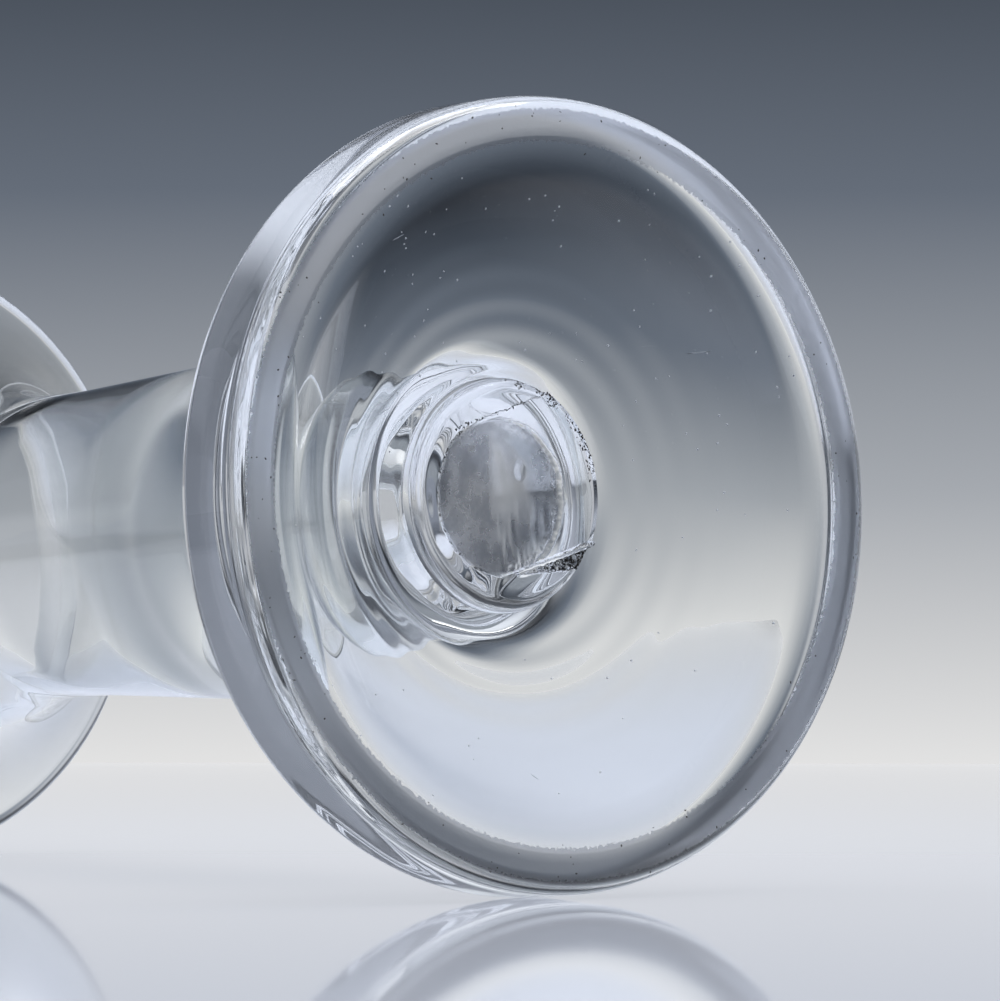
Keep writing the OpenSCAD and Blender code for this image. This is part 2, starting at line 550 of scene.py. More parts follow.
@dataclass(frozen=True)
class HandWork:
    """Slips of the maker's hand, one field for the whole glass so that seams stay shut."""

    lean: float = -0.65
    lean_from: tuple[float, float] = (20.0, 48.0)
    lean_to: tuple[float, float] = (80.0, 100.0)
    wave: float = 26.0
    wave_depth: float = 0.16
    flat_below: float = 4.0

    def tree(self) -> Tree:
        """Makes the turning tree: it spins a profile about the axis and adds the slips.

        Returns:
            A geometry tree with named inputs for the sizes of one piece.
        """
        tree, given = new_tree("turned_glass", {
            "Profile": "Geometry",
            "Segments": "Int",
            "Glass": "Material",
            "Seam": "Material",
            "Seat Shift": "Vector",
            "Lean": "Vector",
            "Seat Inside": "Float",
            "Seat Outside": "Float",
            "Seat Top": "Float",
        })
        count = add_node(tree, "GeometryNodeAttributeDomainSize", {0: given["Profile"]}, component="MESH")
        count = count["Point Count"]
        around = add_node(tree, "ShaderNodeMath", {0: given["Segments"], 1: 1.0}, operation="ADD")[0]
        grid = add_node(tree, "GeometryNodeMeshGrid", {
            "Size X": 1.0,
            "Size Y": 1.0,
            "Vertices X": count,
            "Vertices Y": around,
        })["Mesh"]
        place = add_node(tree, "GeometryNodeInputPosition")[0]
        kind = add_node(tree, "GeometryNodeInputNamedAttribute", {"Name": "surface"}, data_type="FLOAT")[0]
        flat = add_node(tree, "ShaderNodeSeparateXYZ", {0: place})
        last = add_node(tree, "ShaderNodeMath", {0: count, 1: 1.0}, operation="SUBTRACT")[0]
        along = add_node(tree, "ShaderNodeMath", {0: flat["X"], 1: 0.5}, operation="ADD")[0]
        row = add_node(tree, "ShaderNodeMath", {0: along, 1: last}, operation="MULTIPLY")[0]
        row = add_node(tree, "ShaderNodeMath", {0: row}, operation="ROUND")[0]
        angle = add_node(tree, "ShaderNodeMath", {0: flat["Y"], 1: math.tau}, operation="MULTIPLY")[0]
        place_there, kind_there = [
            add_node(tree, "GeometryNodeSampleIndex", {
                "Geometry": given["Profile"],
                "Value": value,
                "Index": row,
            }, data_type=data_type, domain="POINT")[0]
            for value, data_type in ((place, "FLOAT_VECTOR"), (kind, "FLOAT"))
        ]
        spun = add_node(tree, "ShaderNodeVectorRotate", {
            "Vector": place_there,
            "Axis": (0, 0, 1),
            "Angle": angle,
        }, rotation_type="AXIS_ANGLE")[0]
        shape = add_node(tree, "GeometryNodeStoreNamedAttribute", {
            "Geometry": grid,
            "Name": "surface",
            "Value": kind_there,
        }, data_type="FLOAT", domain="POINT")[0]
        shape = add_node(tree, "GeometryNodeSetPosition", {"Geometry": shape, "Position": spun})[0]
        shape = add_node(tree, "GeometryNodeMergeByDistance", {"Geometry": shape, "Distance": 1e-7})[0]
        shape = add_node(tree, "GeometryNodeFlipFaces", {"Mesh": shape})[0]
        slips = self.slips(tree, given)
        shape = add_node(tree, "GeometryNodeSetPosition", {"Geometry": shape, "Offset": slips})[0]
        shape = add_node(tree, "GeometryNodeSetShadeSmooth", {"Geometry": shape})[0]
        shape = add_node(tree, "GeometryNodeSetMaterial", {
            "Geometry": shape,
            "Material": given["Glass"],
        })[0]
        inside = add_node(tree, "ShaderNodeMath", {
            0: kind,
            1: SEAM_SHARE,
        }, operation="GREATER_THAN")[0]
        shape = add_node(tree, "GeometryNodeSetMaterial", {
            "Geometry": shape,
            "Selection": inside,
            "Material": given["Seam"],
        })[0]
        shape = add_node(tree, "GeometryNodeRealizeInstances", {0: shape})[0]
        add_node(tree, "NodeGroupOutput", {0: shape})
        return tree

    def slips(self, tree: Tree, given: Any) -> Socket:
        """Adds the nodes that say how far each point strays from the true turned form.

        Args:
            tree: The turning tree.
            given: Its input sockets.

        Returns:
            The offset of each point.
        """
        place = add_node(tree, "GeometryNodeInputPosition")[0]
        part = add_node(tree, "ShaderNodeSeparateXYZ", {0: place})
        height = part["Z"]
        level = add_node(tree, "ShaderNodeCombineXYZ", {"X": part["X"], "Y": part["Y"]})[0]
        radius = add_node(tree, "ShaderNodeVectorMath", {0: level}, operation="LENGTH")["Value"]
        spans = (
            (height, self.lean_from[0] * MM, self.lean_from[1] * MM),
            (height, self.lean_to[1] * MM, self.lean_to[0] * MM),
            (height, 0.0, self.flat_below * MM),
            (radius, given["Seat Outside"], given["Seat Inside"]),
        )
        rise, fall, off_ring, near = [
            add_node(tree, "ShaderNodeMapRange", {
                "Value": value,
                "From Min": low,
                "From Max": high,
            }, interpolation_type="SMOOTHSTEP")["Result"]
            for value, low, high in spans
        ]
        under = add_node(tree, "ShaderNodeMath", {
            0: height,
            1: given["Seat Top"],
        }, operation="LESS_THAN")[0]
        waves = add_node(tree, "ShaderNodeTexNoise", {
            "Vector": place,
            "Scale": 1 / (self.wave * MM),
            "Detail": 1.0,
        })["Color"]
        centred = add_node(tree, "ShaderNodeVectorMath", {
            0: waves,
            1: (0.5, 0.5, 0.5),
        }, operation="SUBTRACT")[0]
        offset: Any = (0.0, 0.0, 0.0)
        for way, first, second in (
            (given["Lean"], rise, fall),
            (centred, off_ring, 2 * self.wave_depth * MM),
            (given["Seat Shift"], near, under),
        ):
            share = add_node(tree, "ShaderNodeMath", {0: first, 1: second}, operation="MULTIPLY")[0]
            slip = add_node(tree, "ShaderNodeVectorMath", {0: way, "Scale": share}, operation="SCALE")[0]
            offset = add_node(tree, "ShaderNodeVectorMath", {0: offset, 1: slip}, operation="ADD")[0]
        return offset


def linked(name: str, mesh: bpy.types.Mesh) -> bpy.types.Object:
    """Makes an object for a mesh and links it to the scene."""
    made = bpy.data.objects.new(name, mesh)
    bpy.context.scene.collection.objects.link(made)
    return made


def grown(name: str, source: bpy.types.Mesh, tree: Tree, values: dict[str, Any]) -> bpy.types.Mesh:
    """Runs a geometry tree on a mesh and gives the result as a plain mesh.

    Args:
        name: The new mesh's name.
        source: The mesh that the tree works on, which is used up.
        tree: The geometry tree.
        values: The tree's inputs by name.

    Returns:
        The mesh that the tree makes.
    """
    base = linked(name + "_source", source)
    modifier = base.modifiers.new(tree.name, "NODES")
    modifier.node_group = tree
    names = {item.name: item.identifier for item in tree.interface.items_tree if item.in_out == "INPUT"}
    for label, value in values.items():
        modifier[names[label]] = value
    base.update_tag()
    bpy.context.view_layer.update()
    graph = bpy.context.evaluated_depsgraph_get()
    mesh = bpy.data.meshes.new_from_object(base.evaluated_get(graph))
    base.modifiers.remove(modifier)
    bpy.data.objects.remove(base)
    bpy.data.meshes.remove(source)
    if mesh.materials and mesh.materials[0] is None:
        mesh.materials.pop(index=0)
    mesh.name = name
    return mesh


def crease(mesh: bpy.types.Mesh, sharpest: float = math.radians(50)) -> None:
    """Keeps shading apart where a skin meets a seam and at edges sharper than an angle."""
    work = bmesh.new()
    work.from_mesh(mesh)
    for edge in work.edges:
        if len(edge.link_faces) != 2:
            continue
        first, second = edge.link_faces
        edge.smooth = first.material_index == second.material_index and edge.calc_face_angle(0) < sharpest
    work.to_mesh(mesh)
    work.free()


def placed(name: str, mesh: bpy.types.Mesh, slot: str, *nodes: str) -> None:
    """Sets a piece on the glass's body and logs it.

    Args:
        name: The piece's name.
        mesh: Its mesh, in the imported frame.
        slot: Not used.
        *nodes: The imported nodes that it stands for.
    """
    piece = linked(name, mesh)
    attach(piece, "root")
    if nodes:
        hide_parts(*nodes)
    LOG.info("%s: %d faces", name, len(mesh.polygons))


@dataclass(frozen=True)
class Litter:
    """Crumbs or scratches strewn over a face: how many on a square millimetre, and how large they are."""

    name: str
    finish: Dull
    density: float
    smallest: tuple[float, float, float]
    largest: tuple[float, float, float]
    seed: int

    @staticmethod
    def tree() -> Tree:
        """Makes the strewing tree: it sets balls of random size and turn where a face's share says so.

        Returns:
            A geometry tree with named inputs for one kind of litter.
        """
        tree, given = new_tree("strewn_litter", {
            "Face": "Geometry",
            "Density": "Float",
            "Smallest": "Vector",
            "Largest": "Vector",
            "Seed": "Int",
            "Material": "Material",
        })
        seed = given["Seed"]
        share = add_node(tree, "GeometryNodeInputNamedAttribute", {"Name": "share"}, data_type="FLOAT")[0]
        density = add_node(tree, "ShaderNodeMath", {
            0: share,
            1: given["Density"],
        }, operation="MULTIPLY")[0]
        points = add_node(tree, "GeometryNodeDistributePointsOnFaces", {
            "Mesh": given["Face"],
            "Density": density,
            "Seed": seed,
        }, distribute_method="RANDOM")
        ball = add_node(tree, "GeometryNodeMeshIcoSphere", {"Radius": 1.0, "Subdivisions": 2})["Mesh"]
        size = add_node(tree, "FunctionNodeRandomValue", {
            0: given["Smallest"],
            1: given["Largest"],
            "Seed": seed,
        }, data_type="FLOAT_VECTOR")[0]
        angle = add_node(tree, "FunctionNodeRandomValue", {
            RANDOM_MOST: math.tau,
            "Seed": seed,
        }, data_type="FLOAT")[RANDOM_RESULT]
        spin = add_node(tree, "FunctionNodeAxisAngleToRotation", {"Axis": (0, 0, 1), "Angle": angle})[0]
        turned = add_node(tree, "FunctionNodeRotateRotation", {
            "Rotation": points["Rotation"],
            "Rotate By": spin,
        }, rotation_space="LOCAL")[0]
        crumbs = add_node(tree, "GeometryNodeInstanceOnPoints", {
            "Points": points["Points"],
            "Instance": ball,
            "Rotation": turned,
            "Scale": size,
        })[0]
        shape = add_node(tree, "GeometryNodeRealizeInstances", {0: crumbs})[0]
        shape = add_node(tree, "GeometryNodeSetShadeSmooth", {"Geometry": shape})[0]
        shape = add_node(tree, "GeometryNodeSetMaterial", {
            "Geometry": shape,
            "Material": given["Material"],
        })[0]
        add_node(tree, "NodeGroupOutput", {0: shape})
        return tree

    def strew(self, tree: Tree, face: bpy.types.Mesh, shares: Sequence[float], slot: str) -> None:
        """Strews the litter over a mesh, as one piece.

        Args:
            tree: The strewing tree.
            face: The mesh that it lies on, which stays as it is.
            shares: How thickly it lies at each of the mesh's vertices, from 0 to 1.
            slot: Passed on to placed, which doesn't use it.
        """
        copy = face.copy()
        share = copy.attributes.new("share", "FLOAT", "POINT")
        share.data.foreach_set("value", shares)
        mesh = grown(self.name, copy, tree, {
            "Density": self.density / MM ** 2,
            "Smallest": Vector(self.smallest) * MM,
            "Largest": Vector(self.largest) * MM,
            "Seed": self.seed,
            "Material": self.finish.build(),
        })
        placed(self.name, mesh, slot)


@dataclass
class Workshop:
    """What every gather of the glass is made with: the two trees and the two faces of glass."""

    hand: HandWork
    glass: bpy.types.Material
    seam: bpy.types.Material
    segments: int = 256
    tree: Tree = field(init=False)
    litter: Tree = field(init=False)

    def __post_init__(self) -> None:
        """Makes the turning tree and the strewing tree."""
        self.tree = self.hand.tree()
        self.litter = Litter.tree()

    def turn(self, name: str, runs: Sequence[Run], **seat: Any) -> bpy.types.Mesh:
        """Turns a closed profile about the glass's axis.

        Args:
            name: The mesh's name.
            runs: The profile, each run starting where the last one ends.
            **seat: The seat's inputs of the turning tree, for a piece that has one.

        Returns:
            The turned mesh.
        """
        corners = [(p.x * MM, 0.0, p.y * MM) for run in runs for p in run.points]
        kinds = [float(run.surface) for run in runs for _ in run.points]
        profile = bpy.data.meshes.new(name + "_profile")
        profile.from_pydata(corners, [(i, i + 1) for i in range(len(corners) - 1)], [])
        surface = profile.attributes.new("surface", "FLOAT", "POINT")
        surface.data.foreach_set("value", kinds)
        values = {
            "Segments": self.segments,
            "Glass": self.glass,
            "Seam": self.seam,
            "Lean": Way.UP.value * self.hand.lean * MM,
            "Seat Shift": Vector((0, 0, 0)),
            "Seat Inside": -1.0,
            "Seat Outside": -0.5,
            "Seat Top": -1.0,
        }
        mesh = grown(name, profile, self.tree, values | seat)
        crease(mesh)
        return mesh


@dataclass(frozen=True)
class Wander:
    """An uneven height: how far it strays, over what size in millimetres, and its fixed seed."""

    most: float
    size: float
    seed: float

    def at(self, u: float, v: float = 0.0) -> float:
        """The height at a place, from -most to most."""
        return self.most * noise.noise(Vector((u / self.size, v / self.size, self.seed)))


@dataclass
class PontilMark:
    """What the pontil rod left: a melted lump whose middle broke out between two straight edges.

    Places on it are measured from its middle as the photograph shows them, to the right and up.
    """

    kick_z: float
    low_z: float
    glass: bpy.types.Material
    # The melted face and its round edge
    mark_r: float = 9.8
    mark_shift: Vector = field(default_factory=lambda: Way.UP.value * 0.3 - Way.RIGHT.value * 0.6)
    edge_r: float = 1.35
    dip: float = 0.22
    dip_from: tuple[float, float] = (0.8, 3.2)
    face_wander: Wander = Wander(0.06, 3.0, 1.5)
    # The two straight edges of the break and the facet between them
    break_turn: float = math.radians(17.3)
    break_top: float = 6.7
    top_wander: Wander = Wander(0.14, 1.1, 4.5)
    break_low: float = -6.27
    low_wander: Wander = Wander(0.05, 0.9, 7.5)
    step_h: float = 0.38
    facet_slope: float = 0.02
    facet_frost: float = 0.04
    facet_wander: Wander = Wander(0.02, 2.6, 11.5)
    # The hollow in the facet: its wall, and the arcs of the break in its floor
    hollow: tuple[float, float] = (-0.5, -0.15)
    hollow_r: float = 6.7
    hollow_wander: Wander = Wander(0.12, 1.3, 9.5)
    hollow_depth: float = 0.62
    wall_h: float = 0.2
    wall_at: tuple[float, float] = (1.0, 0.93)
    floor_wander: Wander = Wander(0.03, 2.2, 13.5)
    arc_h: float = 0.012
    arc_count: int = 5
    arcs_at: tuple[float, float] = (0.45, 0.8)
    arcs_above: tuple[float, float] = (0.5, 4.0)
    # The torn patch in the hollow, the blister, the clearer band and the shattered right edge
    torn_below: tuple[float, float] = (0.5, -2.5)
    torn_right: tuple[float, float] = (-2.0, 0.5)
    torn_grain: tuple[float, float] = (0.5, 2.6)
    torn_wander: Wander = Wander(1.0, 1.0, 21.5)
    torn_h: float = 0.05
    torn_clear: float = 0.9
    blister: tuple[float, float] = (2.0, 2.1)
    blister_half: tuple[float, float] = (0.65, 1.0)
    blister_edge: tuple[float, float] = (1.0, 0.2)
    blister_h: float = 0.16
    band_left: tuple[float, float] = (-1.5, -0.5)
    band_right: tuple[float, float] = (3.6, 2.2)
    band_low: tuple[float, float] = (-3.5, 0.5)
    band_clear: float = 0.32
    shattered_from: float = 0.86
    shatter: Wander = Wander(0.06, 0.3, 23.5)
    shatter_clear: Wander = Wander(0.5, 0.35, 25.5)
    # The ridge under the break and the crumbled chip below it, which widens to the right
    ridge_w: float = 0.42
    ridge_h: float = 0.16
    ridge_from: float = -1.2
    ridge_wander: Wander = Wander(0.02, 0.6, 15.5)
    chip_from: float = -0.2
    chip_to: float = 7.6
    chip_w: float = 0.2
    chip_spread: float = 0.22
    chip_h: float = 0.7
    chip_wander: Wander = Wander(0.45, 0.7, 17.5)
    chip_frost: float = 0.8
    chip_dirt: tuple[float, float] = (-0.2, 4.0)
    # Old dirt on the upper right edge, along the upper break and at the hollow's left wall
    dirt_w: float = 1.0
    dirt_up: tuple[float, float] = (-1.5, 5.0)
    dirt_out: tuple[float, float] = (0.9, 0.5)
    dirt_right: tuple[float, float] = (3.2, 4.2)
    dirt_mean: float = 0.3
    dirt_wander: Wander = Wander(1.0, 0.8, 19.5)
    line_half_w: float = 0.16
    line_half: float = 4.5
    line_mean: float = 0.25
    line_wander: Wander = Wander(0.2, 0.8, 27.5)
    brown: float = 0.35
    brown_at: tuple[float, float] = (0.95, 0.99)
    brown_left: tuple[float, float] = (-3.0, -5.0)
    least_t: float = 0.05
    grime: Litter = Litter(
        "pontil_dirt", Dull("dirt_dry_black", "#241F1B"), 45.0, (0.03, 0.02, 0.02), (0.15, 0.09, 0.05), 6)
    rings: int = 120
    segments: int = 320

    def hollow_face(self, u: float, v: float, share: float) -> tuple[float, float]:
        """The broken hollow: how far it is bitten into the lump, and how frosted it is.

        Args:
            u: Distance right of the middle.
            v: Distance above it.
            share: Distance from the hollow's middle as a share of its radius, up to 1.

        Returns:
            The depth in millimetres and the share of frost.
        """
        wall = smoothstep(*self.wall_at, share)
        depth = self.wall_h * wall + (self.hollow_depth - self.wall_h) * (1 - share * share)
        depth += self.floor_wander.at(u, v)
        arcs = smoothstep(*self.arcs_at, share) * smoothstep(*self.arcs_above, v)
        depth += self.arc_h * arcs * math.sin(math.tau * self.arc_count * share)
        torn = smoothstep(*self.torn_below, v) * smoothstep(*self.torn_right, u)
        streak = self.torn_wander.at(u / self.torn_grain[0], v / self.torn_grain[1])
        depth += self.torn_h * torn * streak
        right = (u - self.blister[0]) / self.blister_half[0]
        up = (v - self.blister[1]) / self.blister_half[1]
        depth -= self.blister_h * smoothstep(*self.blister_edge, math.hypot(right, up))
        band = smoothstep(*self.band_left, u) * smoothstep(*self.band_right, u)
        band *= smoothstep(*self.band_low, v)
        # Less frost here also means less of the painted grey shade that the pontil's material gives
        # frosted glass
        frost = 1.0 - self.band_clear * band - self.torn_clear * torn * max(streak, 0.0)
        if share > self.shattered_from and u > 0:
            depth += self.shatter.at(u, v)
            frost -= max(self.shatter_clear.at(u, v), 0.0)
        return depth, frost * wall

    def relief(self, u: float, v: float) -> tuple[float, float, float]:
        """How far the face lies above the mark's lowest plane, and how frosted and dirty it is there.

        Args:
            u: Distance right of the middle.
            v: Distance above it.

        Returns:
            The rise in millimetres, the share of frost and the share of dirt.
        """
        out = self.mark_r - math.hypot(u, v)
        rise = self.dip * smoothstep(*self.dip_from, out) + self.face_wander.at(u, v)
        if out < self.edge_r:
            rise += self.edge_r - math.sqrt(max(self.edge_r ** 2 - (self.edge_r - out) ** 2, 0.0))
        along = u * math.cos(self.break_turn) + v * math.sin(self.break_turn)
        across = v * math.cos(self.break_turn) - u * math.sin(self.break_turn)
        top = self.break_top + self.top_wander.at(along)
        low = self.break_low + self.low_wander.at(along)
        off = math.hypot(u - self.hollow[0], v - self.hollow[1])
        share = off / (self.hollow_r + self.hollow_wander.at(u, v))
        dirt = 0.0
        if out < self.dirt_w and u > 0 and v > self.dirt_up[0]:
            dirt = smoothstep(*self.dirt_up, v) * smoothstep(*self.dirt_out, out)
            dirt *= max(self.dirt_mean + self.dirt_wander.at(u, v), 0.0)
            dirt *= smoothstep(*self.dirt_right, along)
        if abs(across - top) < self.line_half_w and abs(along) < self.line_half:
            dirt = self.line_mean + self.line_wander.at(along)
        if low < across < top and (share < 1 or along > 0):
            rise = self.step_h + self.facet_slope * along + self.facet_wander.at(u, v)
            if share >= 1:
                return rise, self.facet_frost, dirt
            depth, frost = self.hollow_face(u, v, share)
            brown = self.brown * smoothstep(*self.brown_at, share) * smoothstep(*self.brown_left, u)
            return rise + depth, frost, brown
        ridge = low - self.ridge_w
        if ridge < across <= low and self.ridge_from < along < self.chip_to:
            hump = (across - low) / self.ridge_w + 0.5
            return self.ridge_h * abs(hump) + self.ridge_wander.at(along), 0.0, 0.0
        chip = ridge - self.chip_w - self.chip_spread * along
        if chip < across <= ridge and self.chip_from < along < self.chip_to:
            crumbled = max(rise, self.chip_h + self.chip_wander.at(u, v))
            return crumbled, self.chip_frost, smoothstep(*self.chip_dirt, along)
        return rise, 0.0, dirt

    def build(self, shop: Workshop) -> None:
        """Models the broken lump and strews old dirt in its chips.

        Args:
            shop: The tools and the glass.
        """
        work = bmesh.new()
        frost = work.verts.layers.float.new("frost")
        thick = self.kick_z - self.low_z
        soiled: list[float] = []

        def vertex(u: float, v: float, rise: float, frosted: float,
                   dirt: float = 0.0) -> bmesh.types.BMVert:
            """Adds one point of the mark."""
            soiled.append(dirt)
            spot = self.mark_shift + Way.RIGHT.value * u + Way.UP.value * v
            made = work.verts.new((spot + Way.AXIS.value * (self.low_z + rise)) * MM)
            made[frost] = frosted
            return made

        angles = [math.tau * j / self.segments for j in range(self.segments)]
        turns = [(math.cos(a), math.sin(a)) for a in angles]
        loops = []
        for i in range(1, self.rings + 1):
            radius = self.mark_r * i / self.rings
            loop = []
            for x, y in turns:
                rise, frosted, dirt = self.relief(radius * x, radius * y)
                rise = min(max(rise, 0.0), thick - self.least_t)
                loop.append(vertex(radius * x, radius * y, rise, frosted, dirt))
            loops.append(loop)
        loops.append([vertex(self.mark_r * x, self.mark_r * y, thick, 0.0) for x, y in turns])
        low = vertex(0, 0, *self.relief(0, 0))
        top = vertex(0, 0, thick, 0.0)
        for j in range(self.segments):
            k = (j + 1) % self.segments
            work.faces.new((low, loops[0][j], loops[0][k]))
            for a, b in zip(loops, loops[1:]):
                work.faces.new((a[j], b[j], b[k], a[k]))
            seam = work.faces.new((top, loops[-1][k], loops[-1][j]))
            seam.material_index = 1
        for face in work.faces:
            face.smooth = True
        mesh = bpy.data.meshes.new("pontil_scar")
        work.to_mesh(mesh)
        work.free()
        mesh.materials.append(self.glass)
        mesh.materials.append(shop.seam)
        crease(mesh)
        self.grime.strew(shop.litter, mesh, soiled, "pontil_glass")
        placed("pontil_scar", mesh, "pontil_glass", "pontil_mark")


@dataclass
class Foot:
    """The heavy foot: a thick disc with a round edge, a worn standing ring and a dish underneath."""

    outline: Outline
    mark: PontilMark
    seat_margin: float = 0.4
    seat_step: float = 1.0
    turn_r: float = 25.8
    ring_slope: float = math.radians(14.1)
    steepest: float = math.radians(60)
    dish_step: float = math.radians(0.4)
    turn_step: float = math.radians(0.6)
    ripple: float = 0.022
    ripple_w: float = 2.6
    ripple_to: float = 24.0
    dust: Litter = Litter(
        "dust", Dull("dust_dry_white", "#E4E8EC"), 0.07, (0.05, 0.05, 0.03), (0.13, 0.12, 0.05), 4)
    dust_least: float = 0.25
    dust_above: tuple[float, float] = (-6.0, 8.0)
    dust_off_mark: tuple[float, float] = (0.5, 2.0)
    dust_off_ring: float = 0.5
    scratches: Litter = Litter(
        "scratches", Dull("glass_powder_in_scratch", "#C4CAD0", 0.6), 0.006, (0.4, 0.014, 0.008),
        (2.4, 0.04, 0.015), 9)
    scratches_to: tuple[float, float] = (27.5, 26.0)
    pits: Litter = Litter(
        "ring_dirt", Dull("dirt_dry_brown", "#3A342E"), 0.16, (0.04, 0.03, 0.02), (0.14, 0.09, 0.03), 2)
    pits_h: tuple[float, float] = (0.6, 0.1)
    pits_r: tuple[float, float] = (28.0, 29.0)

    @property
    def seat_r(self) -> float:
        """Radius of the flat that the pontil mark sits on."""
        return self.mark.mark_r + self.mark.mark_shift.length + self.seat_margin

    def dish(self) -> list[Point]:
        """The dish from the seat's edge to the standing ring: hollow within, turning out at its rim."""
        ring, mark_r, kick_z = self.outline.ring_in_r, self.mark.mark_r, self.mark.kick_z
        low, high = self.ring_slope, self.steepest
        for _ in range(HALVINGS):
            steep = (low + high) / 2
            ball_r = self.turn_r / math.sin(steep)
            seat_angle = math.asin(mark_r / ball_r)
            inner = ball_r * (math.cos(seat_angle) - math.cos(steep))
            outer = (ring - self.turn_r) * math.tan((steep + self.ring_slope) / 2)
            if inner + outer < kick_z:
                low = steep
            else:
                high = steep
        quarter = math.pi / 2
        hollow = Vector((0, kick_z - ball_r * math.cos(seat_angle)))
        made = arc(hollow, ball_r, quarter - seat_angle, quarter - steep, self.dish_step)
        turn_r = (ring - self.turn_r) / (math.sin(steep) - math.sin(self.ring_slope))
        out = Vector((ring + turn_r * math.sin(self.ring_slope), turn_r * math.cos(self.ring_slope)))
        made += arc(out, turn_r, -quarter - steep, -quarter - self.ring_slope, self.turn_step)[1:]
        for p in made:
            inward = smoothstep(mark_r, self.seat_r, p.x) - smoothstep(self.seat_r, self.ripple_to, p.x)
            p.y += self.ripple * inward * math.sin(math.tau * (p.x - self.seat_r) / self.ripple_w)
        return made

    def build(self, shop: Workshop) -> None:
        """Turns the foot and dresses it.

        Args:
            shop: The tools and the glass.
        """
        mark_r, kick, crown = self.mark.mark_r, self.mark.kick_z, self.outline.crown_z
        seat = closer([Vector((0, kick)), Vector((mark_r, kick))], self.seat_step)
        skin = self.dish()[:-1] + self.outline.between(-1, crown)
        top = closer([skin[-1], Vector((0, crown))], SEAM_STEP)
        mesh = shop.turn(
            "foot_glass",
            [Run(Surface.SEAM, seat), Run(Surface.SKIN, skin), Run(Surface.SEAM, top)],
            **{
                "Seat Shift": self.mark.mark_shift * MM,
                "Seat Inside": mark_r * MM,
                "Seat Outside": self.seat_r * MM,
                "Seat Top": (kick + crown) / 2 * MM,
            },
        )
        self.dress(shop, mesh)
        placed("foot_glass", mesh, "lead_glass", "foot")

    def dress(self, shop: Workshop, mesh: bpy.types.Mesh) -> None:
        """Strews dust and scratches over the dish and old dirt over the worn ring.

        Args:
            shop: The tools and the glass.
            mesh: The turned foot.
        """
        dish: list[float] = []
        inner: list[float] = []
        ring: list[float] = []
        start, full = [self.seat_r + gap for gap in self.dust_off_mark]
        for vertex in mesh.vertices:
            radius = math.hypot(vertex.co.x, vertex.co.y) / MM
            height = vertex.co.z / MM
            above = Way.UP.value.dot(vertex.co) / MM
            hollow = radius < self.outline.ring_in_r - self.dust_off_ring and height < self.mark.kick_z
            inside = smoothstep(start, full, radius) if hollow else 0.0
            settled = self.dust_least + (1 - self.dust_least) * smoothstep(*self.dust_above, above)
            dish.append(inside * settled)
            inner.append(dish[-1] * smoothstep(*self.scratches_to, radius))
            ring.append(smoothstep(*self.pits_h, height) * smoothstep(*self.pits_r, radius))
        self.dust.strew(shop.litter, mesh, dish, "lead_glass")
        self.scratches.strew(shop.litter, mesh, inner, "lead_glass")
        self.pits.strew(shop.litter, mesh, ring, "lead_glass")


@dataclass
class Stem:
    """The short solid stem, whose neck carries the bowl."""

    outline: Outline
    seam_z: float

    def build(self, shop: Workshop) -> None:
        """Turns the stem.

        Args:
            shop: The tools and the glass.
        """
        skin = self.outline.between(self.outline.crown_z, self.seam_z)
        low = closer([Vector((0, skin[0].y)), skin[0]], SEAM_STEP)
        top = closer([skin[-1], Vector((0, skin[-1].y))], SEAM_STEP)
        runs = [Run(Surface.SEAM, low), Run(Surface.SKIN, skin), Run(Surface.SEAM, top)]
        placed("stem_glass", shop.turn("stem_glass", runs), "lead_glass", "stem")


@dataclass
class Bowl:
    """The waisted bowl: hollow down to just above the stem, and flared to a round lip."""

    outline: Outline
    seam_z: float
    height: float
    rim_r: float
    lip_t: float = 2.2
    lip_step: float = math.radians(8)
    wall_t: float = 2.2
    wall_rows: int = 48
    well_r: float = 11.2
    well_z: float = 53.0
    well_rows: int = 40
    well_step: float = 0.8
    floor_z: float = 38.0

    def wall(self) -> tuple[list[Point], list[Point], list[Point]]:
        """The flare's outside, its lip and its inside, from the outside below to the inside below."""
        lip_r = self.lip_t / 2
        lip_centre = Vector((self.rim_r - lip_r, self.height - lip_r))
        start = Vector((self.outline.waist_r - self.wall_t / 2, self.outline.flare_z))
        rise = lip_centre - start
        flare_r = rise.dot(rise) / (2 * rise.x)
        angle = 2 * math.atan2(rise.x, rise.y)

        def side(way: int) -> list[Point]:
            """One face of the wall, whose thickness runs from the flare's to the lip's."""
            made = []
            for i in range(self.wall_rows + 1):
                a = angle * i / self.wall_rows
                thick = self.wall_t + (self.lip_t - self.wall_t) * i / self.wall_rows
                middle = start + flare_r * Vector((1 - math.cos(a), math.sin(a)))
                made.append(middle + way * thick / 2 * Vector((math.cos(a), -math.sin(a))))
            return made

        lip = arc(lip_centre, lip_r, -angle, math.pi - angle, self.lip_step)
        return side(1), lip, side(-1)[::-1]

    def build(self, shop: Workshop) -> None:
        """Turns the bowl.

        Args:
            shop: The tools and the glass.
        """
        outside, lip, inside = self.wall()
        flare_z = self.outline.flare_z
        top = Vector((self.outline.waist_r - self.wall_t, flare_z))
        depth = self.well_z - self.floor_z
        quarter = [math.pi / 2 * i / self.well_rows for i in range(self.well_rows + 1)]
        well = [Vector((self.well_r * math.cos(a), self.well_z - depth * math.sin(a))) for a in quarter]
        well[-1].x = 0.0
        well = closer([top] + well, self.well_step)
        skin = self.outline.between(self.seam_z, flare_z) + outside[1:-1] + lip + inside[1:-1] + well
        low = closer([Vector((0, self.seam_z)), skin[0]], SEAM_STEP)
        mesh = shop.turn("bowl_glass", [Run(Surface.SEAM, low), Run(Surface.SKIN, skin)])
        placed("bowl_glass", mesh, "lead_glass", "bowl")


